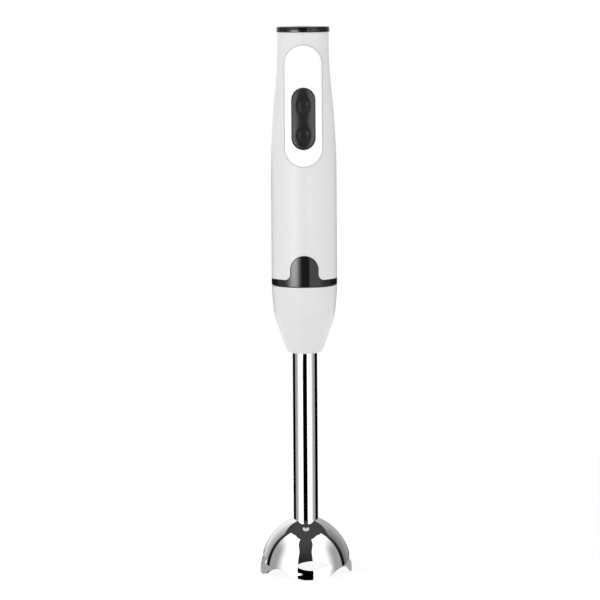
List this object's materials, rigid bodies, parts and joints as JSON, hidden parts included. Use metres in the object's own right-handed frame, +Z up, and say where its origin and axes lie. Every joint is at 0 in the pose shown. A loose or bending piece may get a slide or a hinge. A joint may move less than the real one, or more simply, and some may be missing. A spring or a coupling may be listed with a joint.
{
  "type": "immersion blender",
  "caption": "Hand-held stick blender: tapered motor body with a rocker button, push-on leg with a polished tube, spinning blade under a scalloped bell guard.",
  "frame": {"origin": "on the floor, under the centre of the bell's feet, on the blender's axis", "axes": "+Z up the blender's axis towards the cap; -Y is the front, where the button is; +X to the right seen from the front"},
  "size_m": [0.063, 0.063, 0.375],
  "materials": {
    "white_shell": "glossy light grey-white moulding",
    "black_gloss": "glossy black moulding",
    "soft_black": "soft-touch satin",
    "dark_plastic": "matte moulding",
    "grey_plastic": "matte moulding",
    "natural_nylon": "natural nylon",
    "polished_steel": "mirror polished stainless steel",
    "ground_steel": "ground steel",
    "zinc_steel": "zinc plated",
    "core_steel": "stacked laminations",
    "sintered_bronze": "oil-filled sintered bronze",
    "copper": "enamelled copper wire",
    "brass": "stamped brass",
    "ferrite": "ground ferrite",
    "carbon": "pressed graphite",
    "black_rubber": "moulded rubber",
    "seal_rubber": "silicone rubber",
    "board_green": "solder mask",
    "blue_sleeve": "shrink sleeve",
    "lead_red": "wire insulation"
  },
  "bodies": {
    "motor_body": {"left_shell": "white_shell", "right_shell": "white_shell", "top_cap": "black_gloss", "cord_gland": "black_rubber", "cord_clamp": "grey_plastic", "clamp_screws": "zinc_steel", "base_ring": "black_gloss", "base_screws": "zinc_steel", "leg_socket": "grey_plastic", "rocker_pin": "ground_steel", "switch_frame": "grey_plastic", "circuit_board": "board_green", "slow_switch": "dark_plastic", "fast_switch": "dark_plastic", "rectifier": "dark_plastic", "smoothing_capacitor": "blue_sleeve", "choke": "copper", "button_springs": "ground_steel", "motor_leads": "lead_red", "motor_bracket": "grey_plastic", "motor_screws": "zinc_steel", "motor_mount_low": "black_rubber", "motor_mount_high": "black_rubber", "motor_can": "zinc_steel", "motor_magnets": "ferrite", "motor_endbell": "natural_nylon", "front_bearing": "sintered_bronze", "rear_bearing": "sintered_bronze", "brush_holders": "brass", "carbon_brushes": "carbon", "brush_springs": "ground_steel"},
    "rotor": {"motor_shaft": "ground_steel", "armature_core": "core_steel", "armature_windings": "copper", "commutator": "copper", "cooling_fan": "dark_plastic", "drive_dog": "dark_plastic"},
    "button": {"button_carrier": "dark_plastic", "button_pad": "soft_black"},
    "leg": {"leg_tube": "polished_steel", "blade_guard": "polished_steel", "bearing_holder": "natural_nylon", "lower_bearing": "sintered_bronze", "upper_bearing": "sintered_bronze", "shaft_guide": "natural_nylon", "shaft_seal": "seal_rubber", "tube_pins": "ground_steel", "leg_collar": "white_shell", "tube_seal": "seal_rubber", "collar_core": "grey_plastic", "leg_grip_ring": "seal_rubber", "collar_screws": "zinc_steel"},
    "blade_shaft": {"blade_shaft": "ground_steel", "blade_hub": "natural_nylon", "thrust_washer": "ground_steel", "blade_nut": "ground_steel", "blade": "ground_steel", "shaft_clip": "ground_steel", "driven_dog": "dark_plastic"}
  },
  "joints": [
    {"name": "leg_off", "type": "slide", "parent": "motor_body", "child": "leg", "axis": [0, 0, -1], "range_m": [0, 0.05]},
    {"name": "rotor_spin", "type": "hinge", "parent": "motor_body", "child": "rotor", "pos_m": [0, 0, 0.25875], "axis": [0, 0, 1], "continuous": true},
    {"name": "blade_spin", "type": "hinge", "parent": "leg", "child": "blade_shaft", "pos_m": [0, 0, 0.1], "axis": [0, 0, 1], "continuous": true},
    {"name": "button_rock", "type": "hinge", "parent": "motor_body", "child": "button", "pos_m": [0, -0.01085, 0.3133], "axis": [1, 0, 0], "range_deg": [-3.5, 3.5], "stiffness_Nm_per_rad": 0.4, "deforming": ["button_springs"]}
  ],
  "couplings": [
    {"joint": "blade_spin", "follows": "rotor_spin", "ratio": 1}
  ]
}
